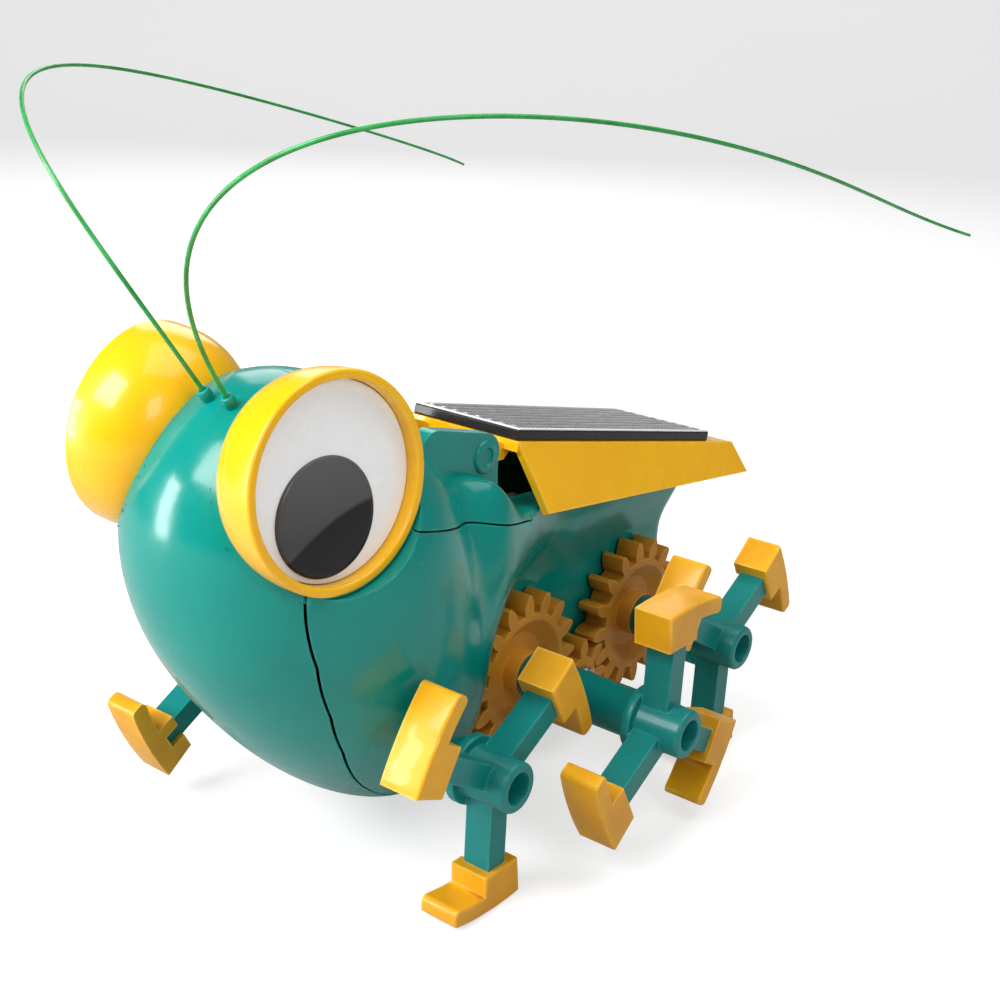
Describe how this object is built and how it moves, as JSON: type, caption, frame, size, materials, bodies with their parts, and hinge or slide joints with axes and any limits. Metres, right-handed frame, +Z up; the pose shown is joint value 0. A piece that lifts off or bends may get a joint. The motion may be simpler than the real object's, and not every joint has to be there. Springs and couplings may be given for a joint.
{
  "type": "solar walking insect kit",
  "caption": "Solar-powered walking insect kit: geared three-arm legs with boots, egg-shaped head, eye cups, whip antennas and a hinged solar wing.",
  "frame": {"origin": "on the ground under the middle of the toy's overall length, in its plane of symmetry", "axes": "+X towards the head, +Y the insect's left, +Z up"},
  "size_m": [0.1336, 0.103, 0.112],
  "materials": {
    "teal_shell": "moulded gloss",
    "yellow": "moulded gloss",
    "gear_yellow": "moulded satin",
    "white": "moulded gloss",
    "black": "moulded gloss",
    "green_wire": "coated wire",
    "steel": "bright",
    "frame_plastic": "satin",
    "magnet": "dark",
    "silicon": "dark glossy",
    "board": "satin lacquer"
  },
  "bodies": {
    "body": {"face_shell": "teal_shell", "top_cover": "teal_shell", "left_side_shell": "teal_shell", "right_side_shell": "teal_shell", "shell_screws": "steel", "axle_bushes": "frame_plastic", "gear_pins": "steel", "frame_spacers": "frame_plastic", "left_frame_plate": "frame_plastic", "right_frame_plate": "frame_plastic", "motor_can": "steel", "motor_end_cap": "frame_plastic", "motor_magnets": "magnet", "left_eye_cup": "yellow", "right_eye_cup": "yellow", "left_eye_white": "white", "right_eye_white": "white", "left_pupil": "black", "right_pupil": "black", "left_antenna": "green_wire", "right_antenna": "green_wire", "left_idler_pin": "steel", "right_idler_pin": "steel"},
    "middle_drive": {"middle_axle": "steel", "middle_axle_gear": "gear_yellow", "left_middle_leg_gear": "gear_yellow", "right_middle_leg_gear": "gear_yellow", "left_middle_leg": "yellow", "right_middle_leg": "yellow", "left_middle_boots": "yellow", "right_middle_boots": "yellow"},
    "front_drive": {"front_axle": "steel", "front_axle_gear": "gear_yellow", "left_front_leg": "yellow", "right_front_leg": "yellow", "left_front_boots": "yellow", "right_front_boots": "yellow"},
    "rear_drive": {"rear_axle": "steel", "left_rear_leg_gear": "gear_yellow", "right_rear_leg_gear": "gear_yellow", "left_rear_leg": "yellow", "right_rear_leg": "yellow", "left_rear_boots": "yellow", "right_rear_boots": "yellow"},
    "left_idler": {"left_idler_gear": "gear_yellow"},
    "right_idler": {"right_idler_gear": "gear_yellow"},
    "inner_idler": {"inner_idler_gear": "gear_yellow"},
    "third_stage": {"third_reduction_gear": "gear_yellow"},
    "second_stage": {"second_reduction_gear": "gear_yellow"},
    "first_stage": {"first_reduction_gear": "gear_yellow"},
    "rotor": {"motor_rotor": "steel", "motor_pinion": "steel"},
    "wing": {"wing_cover": "yellow", "solar_panel_board": "board", "solar_cells": "silicon"}
  },
  "joints": [
    {"name": "middle_axle_spin", "type": "hinge", "parent": "body", "child": "middle_drive", "pos_m": [-0.00042, 0, 0.02], "axis": [0, 1, 0], "continuous": true},
    {"name": "front_axle_spin", "type": "hinge", "parent": "body", "child": "front_drive", "pos_m": [0.02958, 0, 0.02], "axis": [0, 1, 0], "continuous": true},
    {"name": "rear_axle_spin", "type": "hinge", "parent": "body", "child": "rear_drive", "pos_m": [-0.03342, 0, 0.02], "axis": [0, 1, 0], "continuous": true},
    {"name": "left_idler_spin", "type": "hinge", "parent": "body", "child": "left_idler", "pos_m": [-0.01692, 0, 0.01281], "axis": [0, 1, 0], "continuous": true},
    {"name": "right_idler_spin", "type": "hinge", "parent": "body", "child": "right_idler", "pos_m": [-0.01692, 0, 0.01281], "axis": [0, 1, 0], "continuous": true},
    {"name": "inner_idler_spin", "type": "hinge", "parent": "body", "child": "inner_idler", "pos_m": [0.01458, 0, 0.02], "axis": [0, 1, 0], "continuous": true},
    {"name": "third_stage_spin", "type": "hinge", "parent": "body", "child": "third_stage", "pos_m": [-0.00506, 0, 0.03214], "axis": [0, 1, 0], "continuous": true},
    {"name": "second_stage_spin", "type": "hinge", "parent": "body", "child": "second_stage", "pos_m": [0.00282, 0, 0.04223], "axis": [0, 1, 0], "continuous": true},
    {"name": "first_stage_spin", "type": "hinge", "parent": "body", "child": "first_stage", "pos_m": [0.01519, 0, 0.03892], "axis": [0, 1, 0], "continuous": true},
    {"name": "rotor_spin", "type": "hinge", "parent": "body", "child": "rotor", "pos_m": [0.02714, 0, 0.03787], "axis": [0, 1, 0], "continuous": true},
    {"name": "wing_hinge", "type": "hinge", "parent": "body", "child": "wing", "pos_m": [0.01308, 0, 0.0596], "axis": [0, 1, 0], "range_deg": [0, 35]}
  ],
  "couplings": [
    {"joint": "front_axle_spin", "follows": "middle_axle_spin", "ratio": 1},
    {"joint": "rear_axle_spin", "follows": "middle_axle_spin", "ratio": 1},
    {"joint": "left_idler_spin", "follows": "middle_axle_spin", "ratio": -2},
    {"joint": "right_idler_spin", "follows": "middle_axle_spin", "ratio": -2},
    {"joint": "inner_idler_spin", "follows": "middle_axle_spin", "ratio": -1.5},
    {"joint": "third_stage_spin", "follows": "middle_axle_spin", "ratio": -2.25},
    {"joint": "second_stage_spin", "follows": "middle_axle_spin", "ratio": 6.75},
    {"joint": "first_stage_spin", "follows": "middle_axle_spin", "ratio": -20.25},
    {"joint": "rotor_spin", "follows": "middle_axle_spin", "ratio": 81}
  ]
}
